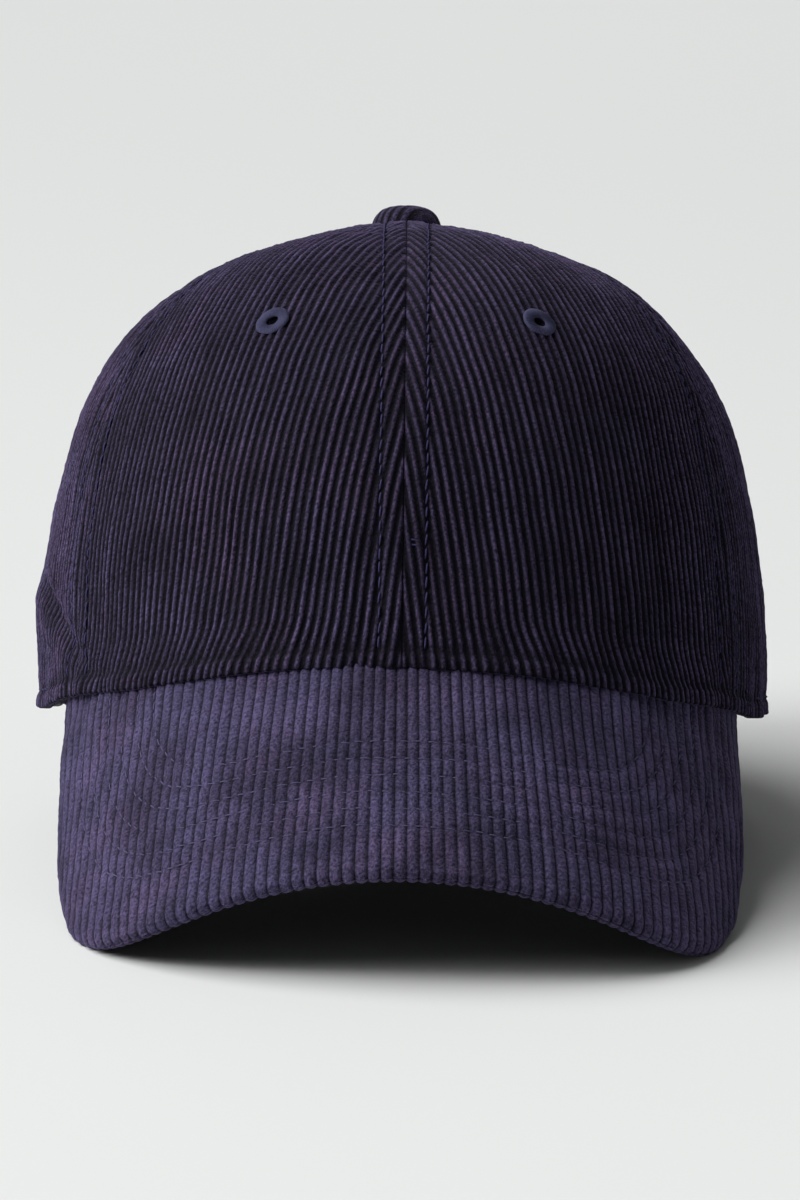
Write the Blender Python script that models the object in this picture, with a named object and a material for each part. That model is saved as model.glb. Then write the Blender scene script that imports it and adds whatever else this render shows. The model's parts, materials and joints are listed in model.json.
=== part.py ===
"""Six-panel corduroy cap with a curved brim, an adjustable rear strap and a flip-lock buckle.

The cap's own frame has its hem in the plane z = 0, its front towards -Y and its crown towards +Z.
Left and right are as seen from the front, so left is towards -X.
The finished cap then rests on a table: the brim's two front corners and the hem beside the rear
opening touch it, so the hem plane leans back by the resting tilt.
"""
import math

import bpy
import bmesh
from mathutils import Matrix, Vector

# ------------------------------------------------------------------ driving dimensions, in metres
HALF_WIDTH = 0.0840          # crown at the hem, centre to side
HALF_FRONT = 0.1065          # crown at the hem, centre to forehead
HALF_BACK = 0.0990           # crown at the hem, centre to nape
CROWN_HEIGHT = 0.1122        # hem plane to the top of the dome
CROWN_FULLNESS = 2.83        # power of the rounded profile; 2 is an ellipse, more is boxier
APEX_SETBACK = 0.0082        # how far the top of the dome sits behind the centre of the hem
APEX_PEAK = 0.0025           # extra rise where the six panels are drawn up under the button

CLOTH = 0.0015               # corduroy with its wales
GAP = 0.0003                 # clearance between pieces that touch
TAPE_CLOTH = 0.0006          # seam tape and facing
BAND_CLOTH = 0.0012          # sweatband
TAPE_HALF_WIDTH = 0.0060
TAPE_TOP_REACH = 0.155       # the tapes stop this share of the way out from the top of the dome
BAND_HEIGHT = 0.0300
BAND_SPAN = (-231.0, 51.0)   # the sweatband stops short of both sides of the rear opening
CUTTER_REACH = 0.0200        # how far the helpers that cut holes run past what they cut

PANEL_COLUMNS = 10           # facets across one panel
CLIMB_STATIONS = (0.0, 6.0, 12.0, 19.0, 26.0, 33.0, 40.0, 47.0, 54.0, 61.0, 69.0, 78.0, 87.6)

BRIM_RADIUS = 0.0825         # the brim is bent round a cylinder of this radius
BRIM_HALF_WIDTH = 0.0965     # measured along the bend
BRIM_LENGTH = 0.0620         # crown seam to front edge, on the centre line
BRIM_SLOPE = math.radians(49.5)   # centre line of the brim below the hem plane
BRIM_CORNER_START = -0.0045  # the straight side edges end here, ahead of the crown seam's centre
BRIM_OUTLINE_POWERS = (5.8, 1.65)
BRIM_CLOTH = 0.0009
BRIM_BOARD = 0.0017
BRIM_COLUMNS, BRIM_ROWS = 28, 5

EYELET_RADIUS, EYELET_HOLE, EYELET_PROUD, EYELET_SIDES = 0.0040, 0.0014, 0.0006, 14
EYELET_CLIMB = math.radians(40.0)
EYELET_AZIMUTHS = {
    "front_left": 245.5, "front_right": 294.5, "side_left": 180.0,
    "side_right": 0.0, "back_left": 120.0, "back_right": 60.0,
}
PANEL_SPANS = {
    "front_left": (210.0, 270.0), "front_right": (270.0, 330.0), "side_left": (150.0, 210.0),
    "side_right": (-30.0, 30.0), "back_left": (90.0, 150.0), "back_right": (30.0, 90.0),
}
SEAM_TAPES = {
    "front": 270.0, "front_left": 210.0, "front_right": 330.0,
    "rear": 90.0, "rear_left": 150.0, "rear_right": 30.0,
}

BUTTON_RADIUS, BUTTON_HEIGHT, BUTTON_CLOTH, BUTTON_SIDES = 0.0077, 0.0070, 0.0009, 20
SHANK_RADIUS, SHANK_LENGTH = 0.0012, 0.0055
WASHER_RADIUS, WASHER_DEPTHS = 0.0070, (0.0029, 0.0037)

OPENING_HALF_WIDTH, OPENING_HEIGHT, OPENING_POWER = 0.0360, 0.0440, 2.4
FACING_WIDTH = 0.0080

STRAP_BOTTOM, STRAP_WIDTH, STRAP_CLOTH = 0.0050, 0.0180, 0.0014
REAR_ARC = 0.0850            # metres along the rear wall for each radian of azimuth
STRAP_REACH = 0.0470         # both straps are sewn in this far from the rear's centre
STRAP_TAIL = 0.0420          # the long strap's end lies this far past the centre, behind the tab
STRAP_DIP_START, STRAP_DIP_LENGTH = 0.0360, 0.0300
ANCHORED = CLOTH + TAPE_CLOTH + 3 * GAP + STRAP_CLOTH / 2      # depth of the tab's middle
TUCKED = ANCHORED + STRAP_CLOTH + 2 * GAP                      # depth of the long strap's tail

BUCKLE_PLACE = -0.0150       # along the rear wall from its centre
BUCKLE_LENGTH, BUCKLE_DEPTH = 0.0200, 0.0019
BUCKLE_SHEET, BUCKLE_SIDE_PLAY, EAR_HEIGHT = 0.0008, 0.0005, 0.0006
BAR_RADIUS, BAR_PLACE = 0.0008, (-0.0092, 0.0031)      # from the buckle's centre: along, outwards
PIN_RADIUS, PIN_PLACE = 0.0007, (-0.0045, 0.0026)
KNUCKLE_RADIUS, LEVER_SHEET, LEVER_LENGTH, LIP_LENGTH = 0.0016, 0.0010, 0.0134, 0.0016

NAVY, NAVY_TWILL, BLACK_CLOTH = (0.022, 0.018, 0.036), (0.012, 0.010, 0.020), (0.010, 0.010, 0.011)
BRASS, STEEL, BOARD = (0.42, 0.29, 0.12), (0.50, 0.50, 0.50), (0.80, 0.80, 0.78)


# ------------------------------------------------------------------ surfaces
def crown_point(azimuth, climb, inset=0.0):
    """A point of the dome: azimuth round the head, climb from 0 at the hem to 90 degrees on top."""
    bulge = (math.cos(climb) ** CROWN_FULLNESS + math.sin(climb) ** CROWN_FULLNESS) ** (1 / CROWN_FULLNESS)
    reach, rise = math.cos(climb) / bulge, math.sin(climb) / bulge
    half_length = HALF_FRONT if math.sin(azimuth) < 0 else HALF_BACK
    return Vector((
        (HALF_WIDTH - inset) * reach * math.cos(azimuth),
        (half_length - inset) * reach * math.sin(azimuth) + APEX_SETBACK * rise,
        (CROWN_HEIGHT - inset) * rise + APEX_PEAK * (1 - reach) ** 3,
    ))


def crown_normal(azimuth, climb):
    """Outward normal of the dome."""
    step = 1e-4
    round_it = crown_point(azimuth + step, climb) - crown_point(azimuth - step, climb)
    up_it = crown_point(azimuth, climb + step) - crown_point(azimuth, climb - step)
    return round_it.cross(up_it).normalized()


def climb_at(height, inset=0.0):
    """The climb angle at which the dome is this high above the hem."""
    low, high = 0.0, math.pi / 2
    for _ in range(50):
        middle = (low + high) / 2
        if crown_point(0.0, middle, inset).z < height:
            low = middle
        else:
            high = middle
    return low


def wall_point(azimuth, height, inset):
    """A point of the dome's wall, or of a layer inside it, at a height above the hem."""
    return crown_point(azimuth, climb_at(height, inset), inset)


def rear_point(along, height, inset):
    """A point on the rear wall; along is measured from its centre, positive towards +X."""
    return wall_point(math.pi / 2 - along / REAR_ARC, height, inset)


def brim_point(across, forward, depth):
    """A point of the bent brim: across it, forward from the crown seam, and below its top face."""
    bend = across / BRIM_RADIUS
    radius = BRIM_RADIUS - depth
    lift = radius * math.cos(bend) - BRIM_RADIUS
    return Vector((
        radius * math.sin(bend),
        -HALF_FRONT + GAP - forward * math.cos(BRIM_SLOPE) - lift * math.sin(BRIM_SLOPE),
        -forward * math.sin(BRIM_SLOPE) + lift * math.cos(BRIM_SLOPE),
    ))


def brim_seam(across, depth):
    """Where a layer of the brim meets the hem plane, measured forward."""
    lift = (BRIM_RADIUS - depth) * math.cos(across / BRIM_RADIUS) - BRIM_RADIUS
    return (lift * math.cos(BRIM_SLOPE) + GAP) / math.sin(BRIM_SLOPE)


def brim_front(across, inset=0.0):
    """The brim's front outline, measured forward; inset draws it in all round."""
    outer, inner = BRIM_OUTLINE_POWERS
    share = min(abs(across) / (BRIM_HALF_WIDTH - inset), 1.0)
    reach = BRIM_LENGTH - inset - BRIM_CORNER_START
    return BRIM_CORNER_START + reach * (1 - share ** outer) ** (1 / inner)


def opening_outline(turn, widen=0.0):
    """The rear opening's arch, as (x, z); turn runs from 0 at the right foot to pi at the left."""
    c, s = math.cos(turn), math.sin(turn)
    size = (abs(c) ** OPENING_POWER + s ** OPENING_POWER) ** (1 / OPENING_POWER)
    return (OPENING_HALF_WIDTH + widen) * c / size, (OPENING_HEIGHT + widen) * s / size


def rear_wall_at(x, z, inset):
    """The point of the rear wall, or of a layer inside it, with this x and z."""
    climb = climb_at(z, inset)
    reach = crown_point(0.0, climb, inset).x
    return crown_point(math.acos(x / reach), climb, inset)


# ------------------------------------------------------------------ solids
def material(name, colour, roughness, metallic=0.0):
    made = bpy.data.materials.new(name)
    made.use_nodes = True
    shader = made.node_tree.nodes["Principled BSDF"]
    shader.inputs["Base Color"].default_value = (*colour, 1.0)
    shader.inputs["Roughness"].default_value = roughness
    shader.inputs["Metallic"].default_value = metallic
    return made


def add_object(name, mesh_maker, colour, roughness, metallic=0.0, smooth=True):
    """Turns a bmesh into one named object with its own material."""
    bmesh.ops.remove_doubles(mesh_maker, verts=mesh_maker.verts, dist=1e-6)
    bmesh.ops.recalc_face_normals(mesh_maker, faces=mesh_maker.faces)
    mesh = bpy.data.meshes.new(name)
    mesh_maker.to_mesh(mesh)
    mesh_maker.free()
    if smooth:
        mesh.shade_smooth()
        mesh.set_sharp_from_angle(angle=math.radians(40))
    made = bpy.data.objects.new(name, mesh)
    made.data.materials.append(material(name, colour, roughness, metallic))
    bpy.context.scene.collection.objects.link(made)
    return made


def skin(maker, rows, closed=False):
    """Adds a grid of quads and returns its vertices."""
    verts = [[maker.verts.new(point) for point in row] for row in rows]
    for low, high in zip(verts, verts[1:]):
        last = len(low) if closed else len(low) - 1
        for i in range(last):
            j = (i + 1) % len(low)
            maker.faces.new((low[i], low[j], high[j], high[i]))
    return verts


def wall(maker, near, far):
    """Joins two equal runs of vertices with quads."""
    for a, b, c, d in zip(near, near[1:], far[1:], far):
        maker.faces.new((a, b, c, d))


def border(verts):
    """The vertices round an open grid, as one run back to its start."""
    right = [row[-1] for row in verts]
    left = [row[0] for row in verts]
    return verts[0] + right[1:] + verts[-1][-2::-1] + left[-2::-1]


def plate(outer_rows, inner_rows):
    """A solid between two grids of the same size."""
    maker = bmesh.new()
    outer, inner = skin(maker, outer_rows), skin(maker, inner_rows)
    wall(maker, border(outer), border(inner))
    return maker


def turned(profile, steps, closed):
    """A solid of revolution about Z: an open profile ends on the axis, a closed one is a ring."""
    maker = bmesh.new()
    rings = []
    for radius, height in profile:
        if radius < 1e-7:
            rings.append([maker.verts.new((0, 0, height))])
            continue
        turns = [2 * math.pi * k / steps for k in range(steps)]
        rings.append([maker.verts.new((radius * math.cos(t), radius * math.sin(t), height)) for t in turns])
    pairs = list(zip(rings, rings[1:])) + ([(rings[-1], rings[0])] if closed else [])
    for low, high in pairs:
        for i in range(steps):
            corners = [ring[k % len(ring)] for ring, k in ((low, i), (low, i + 1), (high, i + 1), (high, i))]
            maker.faces.new(list(dict.fromkeys(corners)))
    return maker


def rod(radius, half_length, sides=12):
    """A round bar along Z."""
    profile = [(0, -half_length), (radius, -half_length), (radius, half_length), (0, half_length)]
    return turned(profile, sides, closed=False)


def extruded(outline, low, high):
    """A prism with this (x, y) outline between two heights."""
    maker = bmesh.new()
    bottom = [maker.verts.new((x, y, low)) for x, y in outline]
    top = [maker.verts.new((x, y, high)) for x, y in outline]
    maker.faces.new(bottom)
    maker.faces.new(top)
    wall(maker, bottom + bottom[:1], top + top[:1])
    return maker


def cut(target, cutter, operation="DIFFERENCE"):
    """Cuts or joins a hidden helper into a piece."""
    cutter.hide_render = True
    cutter.display_type = "WIRE"
    step = target.modifiers.new(operation.lower(), "BOOLEAN")
    step.operation = operation
    step.solver = "EXACT"
    step.object = cutter


# ------------------------------------------------------------------ crown
def build_panel(name, span):
    """One crown panel, with half the seam clearance taken off each side."""
    def rows(inset):
        made = []
        for climb in (math.radians(c) for c in CLIMB_STATIONS):
            low, high = (math.radians(s) for s in span)
            edge = GAP / 2 / max(crown_point(0.0, climb).x, 1e-3)
            low, high = low + edge, high - edge
            stations = [low + (high - low) * i / PANEL_COLUMNS for i in range(PANEL_COLUMNS + 1)]
            made.append([crown_point(azimuth, climb, inset) for azimuth in stations])
        return made
    return add_object(f"panel_{name}", plate(rows(0.0), rows(CLOTH)), NAVY, 0.9)


def eyelet_frame(name):
    """Local Z points out of the crown at a panel's eyelet."""
    azimuth = math.radians(EYELET_AZIMUTHS[name])
    place = crown_point(azimuth, EYELET_CLIMB, CLOTH / 2)
    turn = crown_normal(azimuth, EYELET_CLIMB).to_track_quat("Z", "Y")
    return Matrix.Translation(place) @ turn.to_matrix().to_4x4()


def build_eyelet(name, panel):
    """A sewn eyelet: a ring of thread that stands proud of both faces of its hole."""
    half, edge = CLOTH / 2 + EYELET_PROUD, 0.0005
    profile = [
        (EYELET_RADIUS, -half + edge), (EYELET_RADIUS, half - edge), (EYELET_RADIUS - edge, half),
        (EYELET_HOLE + edge, half), (EYELET_HOLE, half - edge), (EYELET_HOLE, -half + edge),
        (EYELET_HOLE + edge, -half), (EYELET_RADIUS - edge, -half),
    ]
    ring = add_object(f"eyelet_{name}", turned(profile, EYELET_SIDES, closed=True), NAVY_TWILL, 0.6)
    hole = rod(EYELET_RADIUS + GAP, CUTTER_REACH / 2, EYELET_SIDES)
    drill = add_object(f"cutter_eyelet_{name}", hole, NAVY, 0.9)
    ring.matrix_world = drill.matrix_world = eyelet_frame(name)
    cut(panel, drill)
    return [ring, drill]


def build_opening_cutter():
    """The prism that leaves the arch at the back of the crown."""
    count = 20
    arch = [opening_outline(math.pi * i / count) for i in range(count + 1)]
    below = [(-OPENING_HALF_WIDTH, -CUTTER_REACH), (OPENING_HALF_WIDTH, -CUTTER_REACH)]
    maker = extruded(arch + below, HALF_BACK / 2, HALF_BACK + CUTTER_REACH)
    for v in maker.verts:
        v.co = v.co.xzy
    return add_object("cutter_opening", maker, NAVY, 0.9)


def build_tape(name, azimuth):
    """A bias tape over the inside of one crown seam."""
    start = FACING_WIDTH + OPENING_HEIGHT + 2 * GAP if name == "rear" else 2 * GAP
    end = math.acos(TAPE_TOP_REACH)
    under = CLOTH + GAP
    first = climb_at(start, under)
    between = [c for c in map(math.radians, CLIMB_STATIONS) if first + 0.05 < c < end - 0.05]
    climbs = [first] + between + [end]

    def rows(inset):
        made = []
        for climb in climbs:
            middle = crown_point(math.radians(azimuth), climb, inset)
            aside = crown_point(math.radians(azimuth) + 1e-3, climb, inset) - middle
            half = TAPE_HALF_WIDTH / aside.length * 1e-3
            turns = [math.radians(azimuth) + half * k for k in (-1, 0, 1)]
            made.append([crown_point(turn, climb, inset) for turn in turns])
        return made
    return add_object(f"seam_tape_{name}", plate(rows(under), rows(under + TAPE_CLOTH)), BLACK_CLOTH, 0.85)


def build_facing():
    """The tape that finishes the arch, on the inside of the two back panels."""
    count = 18

    def rows(inset):
        lines = []
        for widen in (2 * GAP, FACING_WIDTH):
            arch = [opening_outline(math.pi * i / count, widen) for i in range(count + 1)]
            lines.append([rear_wall_at(x, max(z, 0.0), inset) for x, z in arch])
        return lines
    under = CLOTH + GAP
    return add_object("opening_facing", plate(rows(under), rows(under + TAPE_CLOTH)), BLACK_CLOTH, 0.85)


def build_sweatband():
    """The band inside the hem; it stops at each side of the rear opening."""
    count = 47
    first, last = (math.radians(a) for a in BAND_SPAN)
    turns = [first + (last - first) * i / count for i in range(count + 1)]
    heights = [BAND_HEIGHT * k / 3 for k in range(4)]
    under = CLOTH + TAPE_CLOTH + 2 * GAP

    def rows(inset):
        return [[wall_point(turn, height, inset) for turn in turns] for height in heights]
    return add_object("sweatband", plate(rows(under), rows(under + BAND_CLOTH)), NAVY_TWILL, 0.8)


def dome_profile(radius, height, base, count=6):
    """Half an oval from the rim up to the axis."""
    turns = [math.pi / 2 * k / count for k in range(count + 1)]
    curve = [(radius * math.cos(t) ** 0.8, base + height * math.sin(t)) for t in turns[:-1]]
    return curve + [(0.0, base + height)]


def build_button():
    """The cloth-covered top button, its metal core with a shank, and the washer inside."""
    height = BUTTON_HEIGHT - GAP
    outer = dome_profile(BUTTON_RADIUS, height, GAP)
    inner = dome_profile(BUTTON_RADIUS - BUTTON_CLOTH, height - BUTTON_CLOTH, GAP)
    cover = add_object("button_cover", turned(outer[::-1] + inner, BUTTON_SIDES, False), NAVY, 0.9)
    shrink = BUTTON_CLOTH + GAP
    core = dome_profile(BUTTON_RADIUS - shrink, height - shrink, GAP)[::-1]
    core += [(SHANK_RADIUS, GAP), (SHANK_RADIUS, -SHANK_LENGTH), (0.0, -SHANK_LENGTH)]
    metal = add_object("button_core", turned(core, BUTTON_SIDES, False), STEEL, 0.4, 0.9)
    near, far = WASHER_DEPTHS
    hole = SHANK_RADIUS + GAP
    ring = [(WASHER_RADIUS, -far), (WASHER_RADIUS, -near), (hole, -near), (hole, -far)]
    washer = add_object("button_washer", turned(ring, BUTTON_SIDES, True), STEEL, 0.4, 0.9)
    top = crown_point(0.0, math.pi / 2)
    for piece in (cover, metal, washer):
        piece.location = top
    return [cover, metal, washer]


# ------------------------------------------------------------------ brim
def brim_stations(inset):
    half = BRIM_HALF_WIDTH - inset
    return [half * math.sin(math.pi / 2 * (2 * i / BRIM_COLUMNS - 1)) for i in range(BRIM_COLUMNS + 1)]


def brim_rows(depth, inset):
    """A grid over one face of a brim layer, from the crown seam to the front outline."""
    rows = []
    for j in range(BRIM_ROWS + 1):
        row = []
        for across in brim_stations(inset):
            start, stop = brim_seam(across, depth), brim_front(across, inset)
            row.append(brim_point(across, start + (stop - start) * j / BRIM_ROWS, depth))
        rows.append(row)
    return rows


def free_edge(verts):
    """The run of vertices down one side of the brim, along its front and back up the other."""
    left = [row[0] for row in verts]
    right = [row[-1] for row in verts]
    return left + verts[-1][1:] + right[-2::-1]


def build_brim():
    """The top cover wraps down round the stiff board and the under cover."""
    board_top = inset = BRIM_CLOTH + GAP
    board_bottom = board_top + BRIM_BOARD
    under_top = board_bottom + GAP
    under_bottom = under_top + BRIM_CLOTH - GAP
    maker = bmesh.new()
    top = skin(maker, brim_rows(0.0, 0.0))
    inside = skin(maker, brim_rows(BRIM_CLOTH, BRIM_CLOTH))
    lip_outer = free_edge([[maker.verts.new(p) for p in row] for row in brim_rows(under_bottom, 0.0)])
    lip_inner = free_edge([[maker.verts.new(p) for p in row] for row in brim_rows(under_bottom, BRIM_CLOTH)])
    wall(maker, free_edge(top), lip_outer)
    wall(maker, lip_outer, lip_inner)
    wall(maker, lip_inner, free_edge(inside))
    wall(maker, top[0], inside[0])
    for end in (0, -1):
        maker.faces.new((free_edge(top)[end], lip_outer[end], lip_inner[end], free_edge(inside)[end]))
    bmesh.ops.delete(maker, geom=[v for v in maker.verts if not v.link_faces], context="VERTS")
    cover = add_object("brim_top_cover", maker, NAVY, 0.9)
    stiff = plate(brim_rows(board_top, inset), brim_rows(board_bottom, inset))
    below = plate(brim_rows(under_top, inset), brim_rows(under_bottom, inset))
    board = add_object("brim_board", stiff, BOARD, 0.5)
    under = add_object("brim_under_cover", below, BLACK_CLOTH, 0.9)
    return [cover, board, under]


# ------------------------------------------------------------------ strap and buckle
def eased(share):
    """A smooth step from 0 to 1."""
    share = min(max(share, 0.0), 1.0)
    return share * share * (3 - 2 * share)


def buckle_frame_matrix():
    """The buckle's own frame on the rear wall: X along the strap, Y outwards, Z up the wall."""
    middle = STRAP_BOTTOM + STRAP_WIDTH / 2
    step = 0.001
    origin = rear_point(BUCKLE_PLACE, middle, TUCKED)
    ahead = rear_point(BUCKLE_PLACE + step, middle, TUCKED) - origin
    up = (rear_point(BUCKLE_PLACE, middle + step, TUCKED) - origin).normalized()
    outward = up.cross(ahead).normalized()
    return Matrix.Translation(origin) @ Matrix((outward.cross(up), outward, up)).transposed().to_4x4()


def flat_path(places, frame):
    """Places on the rear wall, each (along, inset), as (x, y) in the buckle's frame."""
    middle = STRAP_BOTTOM + STRAP_WIDTH / 2
    inverse = frame.inverted()
    return [tuple((inverse @ rear_point(along, middle, inset)).xy) for along, inset in places]


def strip_outline(path, thickness):
    """The closed outline of a strip that follows this path."""
    sides = ([], [])
    for k, (x, y) in enumerate(path):
        before, after = path[max(k - 1, 0)], path[min(k + 1, len(path) - 1)]
        run = Vector((after[0] - before[0], after[1] - before[1])).normalized() * thickness / 2
        sides[0].append((x - run.y, y + run.x))
        sides[1].append((x + run.y, y - run.x))
    return sides[0] + sides[1][::-1]


def build_straps(frame):
    """The long strap runs through the buckle and in behind the tab, which loops round the bar."""
    count = 20
    start, end = STRAP_REACH, -STRAP_TAIL
    places = [start + (end - start) * k / count for k in range(count + 1)]
    dips = [eased((STRAP_DIP_START - along) / STRAP_DIP_LENGTH) for along in places]
    run = [(along, ANCHORED + (TUCKED - ANCHORED) * dip) for along, dip in zip(places, dips)]
    half = STRAP_WIDTH / 2
    long_strap = extruded(strip_outline(flat_path(run, frame), STRAP_CLOTH), -half, half)
    tab_places = [(-STRAP_REACH + 0.005 * k, ANCHORED) for k in range(4)]
    bar_x, bar_y = BAR_PLACE
    loop = BAR_RADIUS + GAP + STRAP_CLOTH / 2
    turns = [math.radians(-90 + 30 * k) for k in range(7)]
    tab_path = flat_path(tab_places, frame) + [(bar_x - 1.6 * loop, bar_y - loop)]
    tab_path += [(bar_x + loop * math.cos(t), bar_y + loop * math.sin(t)) for t in turns]
    tab_path.append((bar_x - 1.4 * loop, bar_y + 0.85 * loop))
    tab = extruded(strip_outline(tab_path, STRAP_CLOTH), -half, half)
    made = [add_object("strap_long", long_strap, NAVY, 0.9), add_object("strap_tab", tab, NAVY, 0.9)]
    for piece in made:
        piece.matrix_world = frame
    return made


def box_outline(x0, x1, y0, y1):
    return [(x0, y0), (x1, y0), (x1, y1), (x0, y1)]


def build_buckle(frame):
    """The brass channel with its bar, the lever that locks the strap, and the lever's pin."""
    pin_x, pin_y = PIN_PLACE
    bar_x, bar_y = BAR_PLACE
    inner = STRAP_WIDTH / 2 + BUCKLE_SIDE_PLAY
    outer = inner + BUCKLE_SHEET
    floor = -BUCKLE_DEPTH
    left, right = bar_x - 1.5 * BAR_RADIUS, BUCKLE_LENGTH / 2
    lug_top, lug_end = bar_y + 1.5 * BAR_RADIUS, pin_x + 2 * KNUCKLE_RADIUS
    back = floor - BUCKLE_SHEET
    ear = [
        (left, back), (right, back), (right, EAR_HEIGHT), (lug_end, EAR_HEIGHT),
        (pin_x + KNUCKLE_RADIUS, lug_top), (left, lug_top),
    ]
    inside = box_outline(-CUTTER_REACH, CUTTER_REACH, floor, CUTTER_REACH)
    body = add_object("buckle_frame", extruded(ear, -outer, outer), BRASS, 0.35, 1.0, smooth=False)
    channel = add_object("cutter_channel", extruded(inside, -inner, inner), BRASS, 0.35)
    bar = add_object("cutter_bar", rod(BAR_RADIUS, inner + BUCKLE_SHEET / 2, 10), BRASS, 0.35)
    drill = add_object("cutter_pin", rod(PIN_RADIUS + GAP, CUTTER_REACH), BRASS, 0.35)
    bar.matrix_world = frame @ Matrix.Translation((bar_x, bar_y, 0))
    on_pin = frame @ Matrix.Translation((pin_x, pin_y, 0))
    drill.matrix_world = on_pin
    body.matrix_world = channel.matrix_world = frame
    cut(body, channel)
    cut(body, bar, "UNION")
    cut(body, drill)

    top = KNUCKLE_RADIUS - LEVER_SHEET
    first = -math.asin(top / KNUCKLE_RADIUS)
    arc = [first + (1.5 * math.pi - first) * k / 12 for k in range(13)]
    tip, lift = LEVER_LENGTH + LIP_LENGTH, LIP_LENGTH / 2
    lever_outline = [
        (LEVER_LENGTH, -KNUCKLE_RADIUS), (tip, lift - KNUCKLE_RADIUS), (tip, lift - top), (LEVER_LENGTH, -top),
    ]
    lever_outline += [(KNUCKLE_RADIUS * math.cos(t), KNUCKLE_RADIUS * math.sin(t)) for t in arc]
    half = inner - GAP
    lever = add_object("buckle_lever", extruded(lever_outline, -half, half), BRASS, 0.35, 1.0, smooth=False)
    pin = add_object("buckle_pin", rod(PIN_RADIUS, outer + GAP), BRASS, 0.35, 1.0)
    lever.matrix_world = pin.matrix_world = on_pin
    cut(lever, drill)
    return [body, channel, bar, drill, lever, pin]


# ------------------------------------------------------------------ resting on a table
def lowest(points, tilt):
    """The lowest height among points of the cap's frame once it leans back by this tilt."""
    return min(p.z * math.cos(tilt) - p.y * math.sin(tilt) for p in points)


def resting_tilt(front, rear):
    """The lean at which the lowest points of both groups are level."""
    low, high = math.radians(5.0), math.radians(30.0)
    for _ in range(40):
        middle = (low + high) / 2
        if lowest(front, middle) < lowest(rear, middle):
            low = middle
        else:
            high = middle
    return low


def set_down(pieces):
    """Hangs every piece on one empty that leans the cap back and sets it on the table."""
    solid = {piece.name: piece.data.vertices for piece in pieces if not piece.hide_render}
    front = [v.co for v in solid["brim_top_cover"]]
    rear = [rear_wall_at(side * OPENING_HALF_WIDTH, 0.0, 0.0) for side in (-1, 1)]
    tilt = resting_tilt(front, rear)
    crown = [v.co for name in PANEL_SPANS for v in solid[f"panel_{name}"]]
    lean = Matrix.Rotation(-tilt, 3, "X")
    ahead, behind = min((lean @ p).y for p in front), max((lean @ p).y for p in crown)
    rest = bpy.data.objects.new("cap_rest", None)
    bpy.context.scene.collection.objects.link(rest)
    rest.rotation_euler = (-tilt, 0.0, 0.0)
    rest.location = (0.0, -(ahead + behind) / 2, -lowest(front, tilt))
    for piece in pieces:
        piece.parent = rest


def main():
    for old in list(bpy.data.objects):
        bpy.data.objects.remove(old, do_unlink=True)
    opening = build_opening_cutter()
    pieces = [opening]
    for name, span in PANEL_SPANS.items():
        panel = build_panel(name, span)
        pieces += [panel] + build_eyelet(name, panel)
        if name.startswith("back"):
            cut(panel, opening)
    pieces += [build_tape(name, azimuth) for name, azimuth in SEAM_TAPES.items()]
    pieces += [build_facing(), build_sweatband()]
    pieces += build_button()
    pieces += build_brim()
    frame = buckle_frame_matrix()
    pieces += build_straps(frame)
    pieces += build_buckle(frame)
    set_down(pieces)


main()
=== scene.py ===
"""The finished look of the six-panel corduroy cap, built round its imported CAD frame.

Pieces are modelled in the cap's own frame, whose hem lies in the plane z = 0 with the front towards -Y,
and are then moved to where the resting cap stands. Left and right are as seen from the front.
"""
import json
import math

import bpy
import numpy as np
from mathutils import Matrix, Vector, noise


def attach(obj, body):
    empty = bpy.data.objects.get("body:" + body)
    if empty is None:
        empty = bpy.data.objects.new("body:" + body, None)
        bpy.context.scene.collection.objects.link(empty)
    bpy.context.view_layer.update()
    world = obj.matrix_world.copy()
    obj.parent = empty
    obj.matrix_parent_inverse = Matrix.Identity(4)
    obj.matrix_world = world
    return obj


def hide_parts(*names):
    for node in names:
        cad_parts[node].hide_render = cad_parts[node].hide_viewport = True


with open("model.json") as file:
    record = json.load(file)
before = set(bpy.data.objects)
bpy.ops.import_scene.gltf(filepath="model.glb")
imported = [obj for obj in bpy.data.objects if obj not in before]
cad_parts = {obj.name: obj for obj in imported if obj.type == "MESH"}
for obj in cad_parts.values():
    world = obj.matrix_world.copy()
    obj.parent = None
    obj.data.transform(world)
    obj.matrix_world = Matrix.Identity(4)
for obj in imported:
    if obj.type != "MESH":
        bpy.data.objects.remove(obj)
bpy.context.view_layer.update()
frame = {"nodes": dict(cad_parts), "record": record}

# -------------------- the CAD's dimensions, in metres and degrees
HALF_WIDTH, HALF_FRONT, HALF_BACK = 0.0840, 0.1065, 0.0990
CROWN_HEIGHT, CROWN_FULLNESS = 0.1122, 2.83
APEX_SETBACK, APEX_PEAK = 0.0082, 0.0025
CLOTH, GAP, SEAM_SLIT = 0.0015, 0.0003, 0.0001
TAPE_CLOTH, BAND_CLOTH, TAPE_HALF_WIDTH, BAND_HEIGHT = 0.0006, 0.0012, 0.0060, 0.0300
TAPE_TOP_REACH = 0.155
BAND_SPAN = (-231.0, 51.0)

BRIM_RADIUS, BRIM_LENGTH = 0.0825, 0.0620
BRIM_HALF_WIDTH = 0.0975     # 1 mm more than in the CAD, as the cloth stands proud
BRIM_SLOPE = math.radians(49.5)
BRIM_CORNER_START = -0.0045
BRIM_OUTLINE_POWERS = (5.8, 1.65)
BRIM_THICKNESS = 0.0038
BRIM_CLOTH = 0.0009

EYELET_RADIUS, EYELET_HOLE, EYELET_CLIMB = 0.0040, 0.0014, math.radians(40.0)
BUTTON_RADIUS, BUTTON_HEIGHT = 0.0077, 0.0070
OPENING_HALF_WIDTH, OPENING_HEIGHT, OPENING_POWER, FACING_WIDTH = 0.0360, 0.0440, 2.4, 0.0080
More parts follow.
